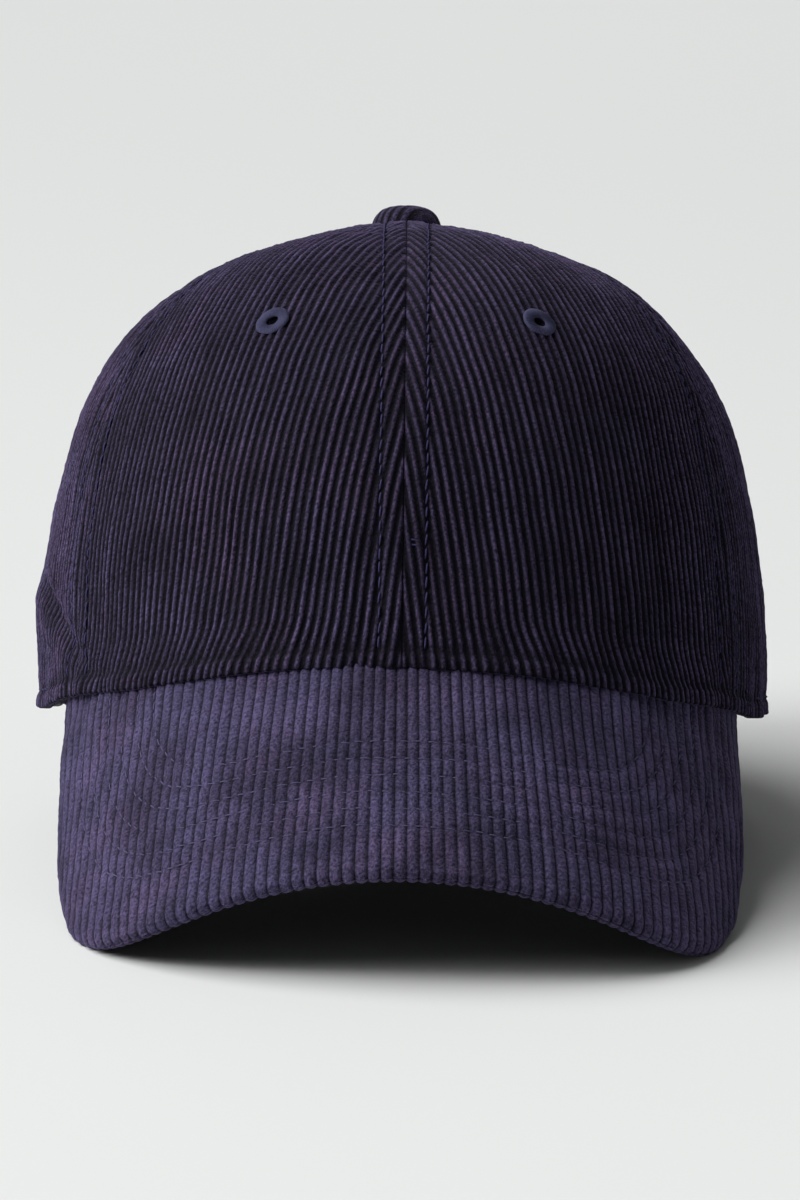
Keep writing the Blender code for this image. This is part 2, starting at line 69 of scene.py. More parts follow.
# below these heights the panels meet closely, as their tapes end there; the back ones have the second
BARE_HEM, BARE_REAR = 0.0020, OPENING_HEIGHT + FACING_WIDTH + 0.0040

STRAP_BOTTOM, STRAP_WIDTH, STRAP_CLOTH = 0.0050, 0.0180, 0.0014
REAR_ARC, STRAP_REACH, STRAP_TAIL = 0.0850, 0.0470, 0.0420
STRAP_DIP_START, STRAP_DIP_LENGTH = 0.0360, 0.0300
ANCHORED = CLOTH + TAPE_CLOTH + 3 * GAP + STRAP_CLOTH / 2
TUCKED = ANCHORED + STRAP_CLOTH + 2 * GAP
BUCKLE_PLACE, BAR_RADIUS, BAR_PLACE = -0.0150, 0.0008, (-0.0092, 0.0031)

# each panel: first and last seam, the azimuth that its ribs run parallel to, and its eyelet's azimuth
PANELS = {
    "front_left": (210.0, 270.0, 243.0, 245.5), "front_right": (270.0, 330.0, 297.0, 294.5),
    "side_left": (150.0, 210.0, 180.0, 180.0), "side_right": (-30.0, 30.0, 0.0, 0.0),
    "back_left": (90.0, 150.0, 120.0, 120.0), "back_right": (30.0, 90.0, 60.0, 60.0),
}
SEAMS = {
    "front": 270.0, "front_left": 210.0, "front_right": 330.0,
    "rear": 90.0, "rear_left": 150.0, "rear_right": 30.0,
}

# -------------------- cloth detail
RIB = 0.0021                 # corduroy rib pitch on the crown
BRIM_RIB = 0.0027            # and where it is stretched over the brim
RIB_STEPS, BRIM_RIB_STEPS = 6, 8    # columns of vertices to a rib
RIB_DEPTH, BRIM_RIB_DEPTH = 0.00075, 0.00055
GRAIN_LEAN = 0.125           # the front panels' ribs draw together by this much of the way up
BRIM_FAN = 0.15              # and the brim's spread by this much on their way to its front edge
ROW = 0.0011                 # spacing of the vertices along a rib
RIB_WANDER, FUZZ = 0.0003, 0.00005   # how far ribs stray sideways, and the roughness of the pile
HEM_JOG = 0.0030             # the front ribs step aside by this much on their way into the hem
EYELET_DIMPLE, DIMPLE_WIDTH = 0.0012, 0.0016
# heights of the soft crown's lumps, hem ripples, temple bulge, temple fold with its lip, and side wave
BIG_LUMPS, SMALL_LUMPS, RIPPLES = 0.0009, 0.0005, 0.0003
BULGE, FOLD, FOLD_LIP, WAVE = 0.0014, 0.0016, 0.0007, 0.0005
SHOULDER_FALL = 0.0019       # the soft crown is this much flatter at its shoulders
HEM_LIFT, SLACK_HEIGHT = 0.0045, 0.026    # the hem's lift behind the temples, and where it fades out
# how far the outer cloth has slid down the brim, at these degrees forward of each temple
SLIDE_PLACES = (6, 11, 16, 24, 32, 41, 52, 63, 75, 90)
SLIDE_LEFT = (0.0, 0.0014, 0.0025, 0.0026, 0.0024, 0.0030, 0.0039, 0.0031, 0.0015, 0.0011)
SLIDE_RIGHT = (0.0, 0.0010, 0.0033, 0.0049, 0.0050, 0.0052, 0.0058, 0.0046, 0.0023, 0.0011)
SEAM_STITCH = 0.0050         # topstitching lies this far from a seam
HEM_STITCH, ARCH_STITCH = 0.0043, 0.0035
STITCH_LENGTH, STITCH_GAP, THREAD = 0.0025, 0.0006, 0.00021
BRIM_ROLL = 0.0036           # the brim's cover rolls over its edge in this width
BRIM_LIP = 0.0036            # the covers are joined in a soft lip this far in from the brim's edge
BRIM_STITCH_INSETS = (0.0140, 0.0190, 0.0240, 0.0290, 0.0340, 0.0390)

random = np.random.default_rng(7)

# -------------------- the resting cap's place
mouth = next(m for m in frame["record"]["mounts"] if m["name"] == "head_opening")
lean = math.atan2(-mouth["axis"][1], -mouth["axis"][2])
TO_WORLD = Matrix.Translation(mouth["pos_m"]) @ Matrix.Rotation(-lean, 4, "X")


# -------------------- surfaces of the cap, as arrays of points
def crown_point(azimuth, climb, out=0.0):
    """Points of the dome at these angles, moved outwards by a distance."""
    azimuth, climb = np.broadcast_arrays(azimuth, climb)
    c, s = np.maximum(np.cos(climb), 0.0), np.maximum(np.sin(climb), 0.0)
    bulge = (c ** CROWN_FULLNESS + s ** CROWN_FULLNESS) ** (1 / CROWN_FULLNESS)
    reach, rise = c / bulge, s / bulge
    half_length = np.where(np.sin(azimuth) < 0, HALF_FRONT, HALF_BACK)
    x = (HALF_WIDTH + out) * reach * np.cos(azimuth)
    y = (half_length + out) * reach * np.sin(azimuth) + APEX_SETBACK * rise
    z = (CROWN_HEIGHT + out) * rise + APEX_PEAK * (1 - reach) ** 3
    return np.stack([x, y, z], axis=-1)


def unit(vectors):
    return vectors / np.maximum(np.linalg.norm(vectors, axis=-1, keepdims=True), 1e-12)


def crown_normal(azimuth, climb):
    step = 1e-4
    round_it = crown_point(azimuth + step, climb) - crown_point(azimuth - step, climb)
    up_it = crown_point(azimuth, climb + step) - crown_point(azimuth, climb - step)
    return unit(np.cross(round_it, up_it))


def travel(path):
    """The distance along a path at each of its points."""
    return np.concatenate([[0], np.cumsum(np.linalg.norm(np.diff(path, axis=0), axis=1))])


CLIMBS = np.linspace(0.0, math.pi / 2, 3000)


def climb_at(height, inset=0.0):
    """The climb angle at which the dome, or a layer inside it, is this high."""
    return np.interp(height, crown_point(0.0, CLIMBS, -inset)[:, 2], CLIMBS)


def rear_point(along, height, inset):
    """Points of the rear wall at a height; along runs towards +X from its centre."""
    along, inset = np.broadcast_arrays(along, inset)
    climbs = np.array([climb_at(height, layer) for layer in inset.ravel()]).reshape(inset.shape)
    return crown_point(math.pi / 2 - along / REAR_ARC, climbs, -inset)


def brim_point(across, forward, depth):
    """Points of the bent brim: across it, forward from the crown, and below its top face."""
    bend, radius = across / BRIM_RADIUS, BRIM_RADIUS - depth
    lift = radius * np.cos(bend) - BRIM_RADIUS
    y = -HALF_FRONT + GAP - forward * math.cos(BRIM_SLOPE) - lift * math.sin(BRIM_SLOPE)
    z = -forward * math.sin(BRIM_SLOPE) + lift * math.cos(BRIM_SLOPE)
    return np.stack([radius * np.sin(bend) + 0 * y, y, z], axis=-1)


def brim_seam(across, depth):
    lift = (BRIM_RADIUS - depth) * np.cos(across / BRIM_RADIUS) - BRIM_RADIUS
    return (lift * math.cos(BRIM_SLOPE) + GAP) / math.sin(BRIM_SLOPE)


def brim_front(across, inset=0.0):
    """The brim's outline, measured forward; inset draws it in all round."""
    outer, inner = BRIM_OUTLINE_POWERS
    share = np.minimum(np.abs(across) / (BRIM_HALF_WIDTH - inset), 1.0)
    reach = BRIM_LENGTH - inset - BRIM_CORNER_START
    return BRIM_CORNER_START + reach * (1 - share ** outer) ** (1 / inner)


def arch_half_width(height):
    """Half the width of the rear arch at a height."""
    share = np.clip(height / OPENING_HEIGHT, 0.0, 1.0)
    return OPENING_HALF_WIDTH * (1 - share ** OPENING_POWER) ** (1 / OPENING_POWER)


def arch_outline(turns, widen):
    """The rear arch drawn wider: how far across its points are, and how high."""
    c, s = np.cos(turns), np.abs(np.sin(turns))
    size = (np.abs(c) ** OPENING_POWER + s ** OPENING_POWER) ** (1 / OPENING_POWER)
    return (OPENING_HALF_WIDTH + widen) * c / size, (OPENING_HEIGHT + widen) * s / size


def bump_at(value, centre, width):
    """A smooth bump of height 1."""
    return np.exp(-((value - centre) / width) ** 2)


def smooth(low, high, value):
    share = np.clip((value - low) / (high - low), 0.0, 1.0)
    return share * share * (3 - 2 * share)


def lumps(points, size, seed):
    """Smooth noise from -1 to 1 at an array of points, in lumps of about this size."""
    flat = points.reshape(-1, 3) / size + seed * 17.3
    return np.array([noise.noise(p) for p in flat.tolist()]).reshape(points.shape[:-1])


def slacken(points, droop):
    """The loose hem lifts behind each temple, and the outer cloth droops down the brim's slope."""
    points = np.array(points, float).reshape(-1, 3)
    behind = np.degrees(np.arctan2(points[:, 1], np.abs(points[:, 0])))
    near_hem = 1 - smooth(0.0, SLACK_HEIGHT, points[:, 2])
    left, right = (np.interp(-behind, SLIDE_PLACES, slides) for slides in (SLIDE_LEFT, SLIDE_RIGHT))
    slide = droop * near_hem * (left + (right - left) * smooth(-0.02, 0.02, points[:, 0]))
    points[:, 2] += HEM_LIFT * smooth(-8, 18, behind) * (1 - smooth(30, 50, behind)) * near_hem
    points[:, 1] -= slide * math.cos(BRIM_SLOPE)
    points[:, 2] -= slide * math.sin(BRIM_SLOPE)
    return points


# -------------------- meshes
def make_mesh(name, points, faces, pile=None, droop=0.0):
    """A piece from points in the cap's frame; pile is a value of about 0 to 1 for its material, which the
    corduroy turns into painted shade where it is low and painted highlight where it is high.
    """
    turn = np.array(TO_WORLD.to_3x3())
    placed = slacken(points, droop) @ turn.T + np.array(TO_WORLD.translation)
    mesh = bpy.data.meshes.new(name)
    mesh.from_pydata(placed.tolist(), [], faces)
    mesh.shade_smooth()
    if pile is not None:
        values = np.asarray(pile, float).ravel()
        mesh.attributes.new("pile", "FLOAT", "POINT").data.foreach_set("value", values)
    made = bpy.data.objects.new(name, mesh)
    bpy.context.scene.collection.objects.link(made)
    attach(made, "cap")
    return made


def grid_faces(rows, columns, closed=False, first=0):
    """Quads over a grid of points, closed round its columns or open."""
    last = columns if closed else columns - 1
    faces = []
    for r in range(rows - 1):
        for c in range(last):
            a, b = first + r * columns + c, first + r * columns + (c + 1) % columns
            faces.append((a, b, b + columns, a + columns))
    return faces


def slab_faces(rows, columns):
    """The faces of a solid whose outer and inner grids of points follow each other."""
    count = rows * columns
    outer = grid_faces(rows, columns)
    inner = [tuple(i + count for i in face[::-1]) for face in outer]
    ring = list(range(columns)) + [r * columns + columns - 1 for r in range(1, rows)]
    ring += [(rows - 1) * columns + c for c in range(columns - 2, -1, -1)]
    ring += [r * columns for r in range(rows - 2, 0, -1)]
    walls = [(b, a, a + count, b + count) for a, b in zip(ring, ring[1:] + ring[:1])]
    return outer + inner + walls


def zip_rows(lower, upper):
    """Faces between two runs of vertices, each (column, place, index), that share some columns."""
    faces, i, j = [], 0, 0
    while i < len(lower) - 1 or j < len(upper) - 1:
        more_low, more_up = i < len(lower) - 1, j < len(upper) - 1
        level = more_low and more_up and lower[i][0] == upper[j][0]
        if level and lower[i + 1][0] == upper[j + 1][0]:
            faces.append((lower[i][2], lower[i + 1][2], upper[j + 1][2], upper[j][2]))
            i, j = i + 1, j + 1
        elif more_low and (not more_up or lower[i + 1][1] <= upper[j + 1][1]):
            faces.append((lower[i][2], lower[i + 1][2], upper[j][2]))
            i += 1
        else:
            faces.append((lower[i][2], upper[j + 1][2], upper[j][2]))
            j += 1
    return faces


def stitches(name, runs, thread=THREAD, sink=0.0, droop=0.0):
    """Rows of sewn thread; each run is (points, normals) along one row."""
    sides, rings = 7, 7
    turns = np.arange(sides)[None, :, None] * 2 * math.pi / sides
    cosines, sines = np.cos(turns), np.sin(turns)
    along = np.linspace(-1, 1, rings)
    girth = np.sqrt(np.maximum(1 - along ** 6, 0.03))
    points, faces, count = [], [], 0
    for path, normals in runs:
        travelled = travel(path)
        pitch = STITCH_LENGTH + STITCH_GAP
        for start in np.arange(STITCH_GAP, travelled[-1] - STITCH_LENGTH, pitch):
            middle = start + STITCH_LENGTH / 2 + random.uniform(-1, 1) * STITCH_GAP / 4
            at = middle + along * STITCH_LENGTH / 2
            line = np.stack([np.interp(at, travelled, path[:, k]) for k in range(3)], axis=-1)
            up = unit(np.stack([np.interp(at, travelled, normals[:, k]) for k in range(3)], axis=-1))
            side = unit(np.cross(unit(np.gradient(line, axis=0)), up))
            line = line + up * ((0.5 - along ** 2) * thread * 1.2 - sink)[:, None]
            slant, shift = random.uniform(0.3, 1.1), random.uniform(-0.5, 0.5)
            line = line + side * (along[:, None] * slant + shift) * thread
            ring = cosines * side[:, None] + sines * up[:, None]
            points.append((line[:, None] + ring * (thread * girth)[:, None, None]).reshape(-1, 3))
            faces += grid_faces(rings, sides, closed=True, first=count)
            faces.append(tuple(range(count, count + sides)))
            faces.append(tuple(range(count + sides * rings - 1, count + sides * (rings - 1) - 1, -1)))
            count += sides * rings
    return make_mesh(name, np.concatenate(points), faces, droop=droop)


# -------------------- corduroy
def rib(place, pitch, power=0.7):
    """The pile's height across the ribs: 1 on a rib, 0 in the groove."""
    return np.abs(np.cos(math.pi * place / pitch)) ** power


RIB_TONES = np.random.default_rng(11).uniform(0.8, 1.1, 400)


def rib_tones(place, pitch):
    """A little more or less pile on each rib."""
    return RIB_TONES[np.round(place / pitch).astype(int) % len(RIB_TONES)]


def crown_shape(azimuth, climb, points):
    """How far the soft crown stands out of, or sinks into, its ideal dome."""
    height = points[..., 2]
    turn = np.degrees(azimuth)
    shape = BIG_LUMPS * lumps(points, 0.040, 1) + SMALL_LUMPS * lumps(points, 0.018, 2)
    low = np.exp(-height / 0.016)
    ripple = np.sin(np.radians(turn) * 46 + 2.5 * lumps(points, 0.03, 3))
    shape = shape + RIPPLES * low * ripple
    shape = shape + BULGE * bump_at(turn, 190, 14) * bump_at(height, 0.024, 0.013)
    crease = (turn - 203) + (height - 0.017) * 900    # degrees from the slanting fold
    fade = bump_at(height, 0.018, 0.013)
    shape = shape - FOLD * bump_at(crease, 0, 2.4) * fade + FOLD_LIP * bump_at(crease, -6, 4) * fade
    wave = np.sin((turn - 318) * 0.42) * bump_at(turn, 318, 14) * bump_at(height, 0.035, 0.022)
    shoulder = bump_at(np.degrees(climb), 62, 12) * np.abs(np.cos(azimuth))
    return shape + WAVE * wave - SHOULDER_FALL * shoulder


def inner_shape(azimuth, climb):
    """The gentler shape of all the layers inside the crown."""
    return 0.8 * crown_shape(azimuth, climb, crown_point(azimuth, climb))


def seam_relief(distance):
    """The cloth across a topstitched seam, from the seam line outwards."""
    raised = 0.00030 * (1 - smooth(SEAM_STITCH - 0.0006, SEAM_STITCH + 0.0022, distance))
    groove = 0.00055 * bump_at(distance, SEAM_STITCH, 0.0008)
    edge = np.clip(1 - distance / 0.00025, 0.0, 1.0)
    return raised - groove - 0.0002 * bump_at(distance, 0, 0.0006) - 0.0003 * edge


def arch_relief(distance):
    """The cloth at the rear arch: a rounded turned edge and one row of stitching."""
    edge = np.clip(1 - distance / 0.0011, 0.0, 1.0)
    return -CLOTH * edge ** 2 - 0.00040 * bump_at(distance, ARCH_STITCH, 0.0008)


def hem_relief(distance):
    turned_in = 0.00030 * (1 - smooth(0.0035, 0.0060, distance))
    return turned_in - 0.00050 * bump_at(distance, HEM_STITCH, 0.0008)


def panel_rows(name):
    """Each row's climb, the way up to it, and the azimuths and arc places of a run across the panel."""
    first, last, grain, _ = (math.radians(a) for a in PANELS[name])
    fine = np.linspace(0.0, 1.5, 3000)
    travelled = travel(crown_point(grain, fine))
    climbs = np.interp(np.arange(0.0006, travelled[-1], ROW), travelled, fine)
    if name.startswith("back"):
        top = climb_at(OPENING_HEIGHT + np.array([-0.0030, -0.0014, -0.0006, -0.0002, 0.00005]))
        climbs = np.sort(np.concatenate([climbs, top]))
    rows = []
    for climb in climbs:
        turns = np.linspace(first, last, 81)
        places = travel(crown_point(turns, climb))
        places -= np.interp(grain, turns, places)
        rows.append((climb, float(np.interp(climb, fine, travelled)), turns, places))
    return rows


def panel_limits(name, climb, turns, places):
    """Arc places of a row's two ends, and whether each end lies on the rear arch."""
    height = float(crown_point(0.0, climb)[2])
    slit = 0.0 if height < (BARE_REAR if name.startswith("back") else BARE_HEM) else SEAM_SLIT
    low, high = places[0] + slit / 2, places[-1] - slit / 2
    if not name.startswith("back") or height >= OPENING_HEIGHT:
        return low, high, False, False
    reach = float(crown_point(0.0, climb)[0])
    beside = math.acos(min(float(arch_half_width(height)) / reach, 1.0))
    if name == "back_right":
        return low, float(np.interp(beside, turns, places)), False, True
    return float(np.interp(math.pi - beside, turns, places)), high, True, False


def build_panel(name):
    """A crown panel: ribs on the outside, a rolled hem and a plain inside."""
    points, piles, rows, previous = [], [], [], 0
    towards_front = {"front_left": 1, "front_right": -1}.get(name, 0)
    eyelet = crown_point(math.radians(PANELS[name][3]), EYELET_CLIMB)
    for climb, travelled, turns, places in panel_rows(name):
        low, high, arch_low, arch_high = panel_limits(name, climb, turns, places)
        wide = int((places[-1] - places[0]) / RIB + 14) * RIB_STEPS
        columns = np.arange(-wide, wide + 1)
        at = columns * RIB / RIB_STEPS + towards_front * GRAIN_LEAN * travelled
        height = float(crown_point(0.0, climb)[2])
        azimuth = np.interp(at, places, turns)
        aside = smooth(4, 26, np.abs(np.degrees(azimuth) - 270))
        at = at - HEM_JOG * towards_front * aside * (1 - smooth(0.0010, 0.0120, height))
        inside = (at > low + 0.0001) & (at < high - 0.0001)
        columns, at = columns[inside], at[inside]
        columns = np.concatenate([[-9999], columns, [9999]])
        spots = crown_point(np.interp(at, places, turns), climb)
        at = at + RIB_WANDER * lumps(spots, 0.014, 6) * smooth(0, 0.004, at - low)
        at = np.concatenate([[low], np.minimum(at, high - 0.00005), [high]])
        azimuth = np.interp(at, places, turns)
        surface = crown_point(azimuth, climb)
        near_low = arch_relief(at - low) if arch_low else seam_relief(at - low)
        near_high = arch_relief(high - at) if arch_high else seam_relief(high - at)
        edge = np.minimum(at - low, high - at)
        # this factor flattens the ribs at the seam edges and in the stitch furrows, and it also darkens
        # the pile's colour there: painted shade
        pressed_and_shaded = 0.6 + 0.4 * smooth(0.0, 0.0003, edge)
        pressed_and_shaded = pressed_and_shaded * (1 - 0.45 * bump_at(edge, SEAM_STITCH, 0.0007))
        pressed_and_shaded = pressed_and_shaded * (1 - 0.5 * bump_at(height, HEM_STITCH, 0.0007))
        ribs = columns * RIB / RIB_STEPS
        pile = rib(ribs, RIB, 1.9) * rib_tones(ribs, RIB)
        pile[[0, -1]] = pile[[1, -2]]
        shape = crown_shape(azimuth, climb, surface)
        tall = 1 + 0.30 * lumps(surface * (3, 3, 1), 0.012, 5)
        hole = bump_at(np.linalg.norm(surface - eyelet, axis=-1), 0.0, DIMPLE_WIDTH)
        out = shape + near_low + near_high + hem_relief(height)
        out = out + RIB_DEPTH * (pile * tall - 0.55) * pressed_and_shaded
        out = out + random.normal(0, FUZZ, len(out)) * pressed_and_shaded - EYELET_DIMPLE * hole
        points.append(surface + crown_normal(azimuth, climb) * out[:, None])
        # the colour value is darkened at the seam edges, in the stitch furrows and in the eyelet's
        # dimple: painted shade
        piles.append(pile * pressed_and_shaded * (1 - hole))
        rows.append([(int(c), float(a), previous + k) for k, (c, a) in enumerate(zip(columns, at))])
        previous += len(at)
    bottom, down = points[0], np.array([0.0, 0.0, -1.0])
    azimuth = np.arctan2(bottom[:, 1], bottom[:, 0])
    inward = -unit(np.stack([np.cos(azimuth), np.sin(azimuth), 0 * azimuth], axis=-1))
    hem = []
    for turn in np.radians([35, 70, 105, 140, 175]):
        roll = bottom + CLOTH / 2 * ((1 - math.cos(turn)) * inward + 0.8 * math.sin(turn) * down)
        hem.insert(0, [(c, a, previous + k) for k, (c, a, _) in enumerate(rows[0])])
        points.append(roll)
        piles.append(piles[0] * max(math.cos(turn), 0.0))
        previous += len(roll)
    inner = []
    for climb, _, turns, places in panel_rows(name)[::7]:
        low, high, _, _ = panel_limits(name, climb, turns, places)
        at = np.linspace(low, high, 13)
        azimuth = np.interp(at, places, turns)
        shape = crown_normal(azimuth, climb) * inner_shape(azimuth, climb)[:, None]
        points.append(crown_point(azimuth, climb, -CLOTH) + shape)
        piles.append(np.zeros(13))
        inner.insert(0, [(k, float(a), previous + k) for k, a in enumerate(at)])
        previous += 13
    faces = []
    order = inner + hem + rows
    for lower, upper in zip(order, order[1:]):
        faces += zip_rows(lower, upper)
    points, piles = np.concatenate(points), np.concatenate(piles)
    made = make_mesh(f"cloth_{name}", points, faces, pile=piles, droop=1.0)
    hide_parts(f"panel_{name}")
    return made


# -------------------- topstitching on the crown
def crown_run(azimuths, climbs, out):
    """One stitch row on the crown: points that follow the soft shape, and their normals."""
    surface, normals = crown_point(azimuths, climbs), crown_normal(azimuths, climbs)
    return surface + normals * (crown_shape(azimuths, climbs, surface) + out)[:, None], normals


def seam_run(seam, aside, start, out):
    """A row beside a crown seam, from a height up to the button."""
    climbs = np.linspace(climb_at(start), math.radians(84), 400)
    turn = math.radians(seam)
    spread = np.linalg.norm(crown_point(turn + 1e-3, climbs) - crown_point(turn, climbs), axis=-1) / 1e-3
    keep = spread > 2.6 * abs(aside)
    climbs, spread = climbs[keep], spread[keep]
    shown = turn + aside * np.minimum(1.0, (spread / 0.030) ** 0.5) / spread
    return crown_run(shown, climbs, out)


def build_crown_stitches():
    """Twin rows on every seam, the hem row, the row round the rear arch, and the tack."""
    made = []
    for name, seam in SEAMS.items():
        start = OPENING_HEIGHT + 0.004 if name == "rear" else 0.004
        runs = [seam_run(seam, side * SEAM_STITCH, start, 0.00005) for side in (-1, 1)]
        made.append(stitches(f"stitches_seam_{name}", runs, droop=1.0))
    runs = []
    for first, last in ((-231.0, -164.0), (-16.0, 51.0)):
        turns = np.radians(np.linspace(first, last, 300))
        runs.append(crown_run(turns, np.full(300, climb_at(HEM_STITCH)), 0.0))
    made.append(stitches("stitches_hem", runs, droop=1.0))
    x, z = arch_outline(np.linspace(0.02, math.pi - 0.02, 300), ARCH_STITCH)
    climbs = climb_at(np.maximum(z, 0.0015))
    azimuths = np.arccos(x / crown_point(0.0, climbs)[:, 0])
    made.append(stitches("stitches_arch", [crown_run(azimuths, climbs, 0.00005)]))
    tack = np.linspace(-0.0030, 0.0030, 30)
    climb = float(climb_at(0.0262))
    across = math.radians(270) + (tack + 0.0040) / 0.0995
    runs = [crown_run(across, np.full(30, climb + higher), 0.0001) for higher in (0.0, 0.01)]
    made.append(stitches("bartack", runs))
    return made


def build_eyelet(name):
    """A satin-stitched eyelet: threads wound round the edge of a small hole."""
    azimuth = np.array([math.radians(PANELS[name][3])])
    climb = np.array([EYELET_CLIMB])
    surface, up = crown_point(azimuth, climb)[0], crown_normal(azimuth, climb)[0]
    surface = surface + up * float(crown_shape(azimuth, climb, surface[None])[0])
    right = unit(np.cross((0, 0, 1.0), up))
    above = np.cross(up, right)
    threads, steps, ring = 44, 4, 14
    turns = np.arange(threads * steps) * 2 * math.pi / (threads * steps)
    strand = np.abs(np.sin(turns * threads / 2))
    points = []
    for theta in np.arange(ring) * 2 * math.pi / ring:
        wobble = 0.00010 * lumps(np.stack([np.cos(turns), np.sin(turns), 0 * turns], axis=-1), 0.5, 9)
        middle = (EYELET_RADIUS + EYELET_HOLE) / 2
        radius = middle + (EYELET_RADIUS - EYELET_HOLE) / 2 * math.cos(theta)
        radius = radius + wobble * (1 + math.cos(theta))
        height = 0.00060 * math.sin(theta) * (0.7 + 0.50 * strand) + 0.0001
        spoke = np.cos(turns)[:, None] * right + np.sin(turns)[:, None] * above
        spot = surface + radius[:, None] * spoke
        points.append(spot + height[:, None] * up)
    points.append(points[0])
    faces = grid_faces(ring + 1, len(turns), closed=True)
    made = make_mesh(f"thread_eyelet_{name}", np.array(points), faces)
    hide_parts(f"eyelet_{name}")
    return made


def build_button_cover():
    """Corduroy drawn over the button's dome, with its ribs running across it at an angle."""
    rings, turns = 26, np.arange(200) * 2 * math.pi / 200
    points, pile = [], []
    top = crown_point(0.0, math.pi / 2)
    for share in np.linspace(-0.16, 1.0, rings):
        theta = share * math.pi / 2
        radius = max(BUTTON_RADIUS * 1.10 * max(math.cos(theta), 0.0) ** 0.48, 0.00002)
        height = GAP + (BUTTON_HEIGHT - GAP) * max(math.sin(theta), -0.08)
        x, y = radius * np.cos(turns), radius * np.sin(turns)
        ribs = rib(0.55 * x - 0.83 * y + 0.0005 * np.sin(x * 260), 0.0021, 1.2)
        lift = 0.00022 * (ribs - 0.6) * smooth(-0.1, 0.15, share)
        spot = np.stack([x, y, np.full(len(turns), height)], axis=-1)
        outward = unit(np.stack([x * 0.9, y * 0.9, np.full(len(turns), max(height, 0.001))], axis=-1))
        points.append(top + spot + outward * lift[:, None])
        pile.append(ribs)
    faces = grid_faces(rings, len(turns), closed=True)
    made = make_mesh("cloth_button", np.array(points), faces, pile=np.array(pile))
    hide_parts("button_cover")
    return made


# -------------------- brim
def inset_distance(across, forward, inset):
    """Distance, over the brim, from points to the outline drawn in by an inset."""
    half = BRIM_HALF_WIDTH - inset
    step = 1e-5
    slope = (brim_front(across + step, inset) - brim_front(across - step, inset)) / (2 * step)
    to_front = np.abs(forward - brim_front(across, inset)) / np.sqrt(1 + slope ** 2)
    to_front = np.where(np.abs(across) < half - step, to_front, 1.0)
    to_side = np.where(forward < BRIM_CORNER_START + 0.0005, np.abs(np.abs(across) - half), 1.0)
    return np.minimum(to_front, to_side)


def brim_relief(across, forward):
    """Lumps of the soft cover, and the furrows of its stitch rows and its lip; the furrow mask also
    darkens the cover's colour as painted shade.
    """
    flat = np.stack([across, forward, 0 * across], axis=-1)
    shape = 0.00065 * lumps(flat, 0.024, 21) + 0.00032 * lumps(flat, 0.009, 22)
    rows = [inset_distance(across, forward, inset) for inset in BRIM_STITCH_INSETS]
    furrows = sum(bump_at(distance, 0, 0.0007) for distance in rows)
    furrows = furrows + 0.7 * bump_at(inset_distance(across, forward, BRIM_LIP), 0, 0.0012)
    return shape - 0.00034 * furrows, np.clip(furrows, 0, 1)


def outward_normals(points, reference):
    """Normals of a grid of points, turned to the side that a reference direction lies on."""
    normals = unit(np.cross(np.gradient(points, axis=1), np.gradient(points, axis=0)))
    flip = np.sign(np.sum(normals * reference, axis=-1, keepdims=True))
    return normals * np.where(flip == 0, 1, flip)


